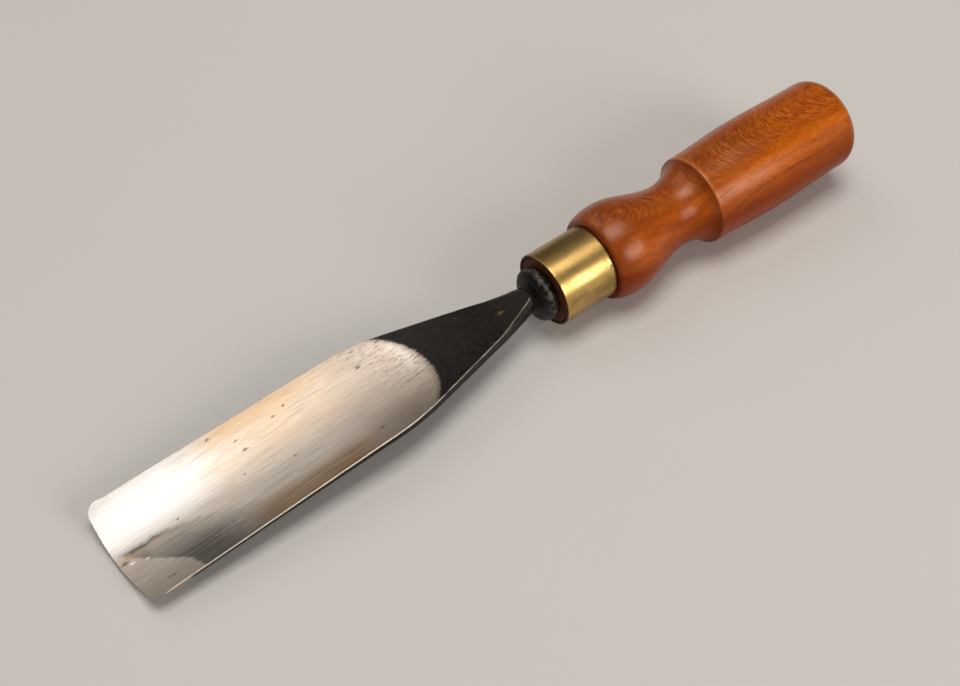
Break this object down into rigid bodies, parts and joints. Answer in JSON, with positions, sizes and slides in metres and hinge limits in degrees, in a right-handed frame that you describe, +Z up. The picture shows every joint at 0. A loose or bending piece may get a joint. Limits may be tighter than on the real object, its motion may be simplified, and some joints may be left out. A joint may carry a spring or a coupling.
{
  "type": "gouge",
  "caption": "Wide shallow-sweep hand gouge with a forged bolster, a brass ferrule and a turned fruitwood handle.",
  "frame": {"origin": "centre of the bottom of the bounding box, on the surface that the tool lies on", "axes": "+X along the tool from the butt to the cutting edge, +Y towards the blade's left side, +Z up, with the trough facing up"},
  "size_m": [0.303, 0.0426, 0.0383],
  "materials": {
    "blade_steel": "polished trough with fine lengthwise scratches and warm stains; black forge scale on the shank and bolster",
    "ferrule_brass": "satin, with light patina towards the rear rim",
    "handle_wood": "satin orange-brown fruitwood, polished by use"
  },
  "bodies": {
    "root": {"gouge_blade": "blade_steel", "ferrule": "ferrule_brass", "handle": "handle_wood"}
  },
  "joints": []
}
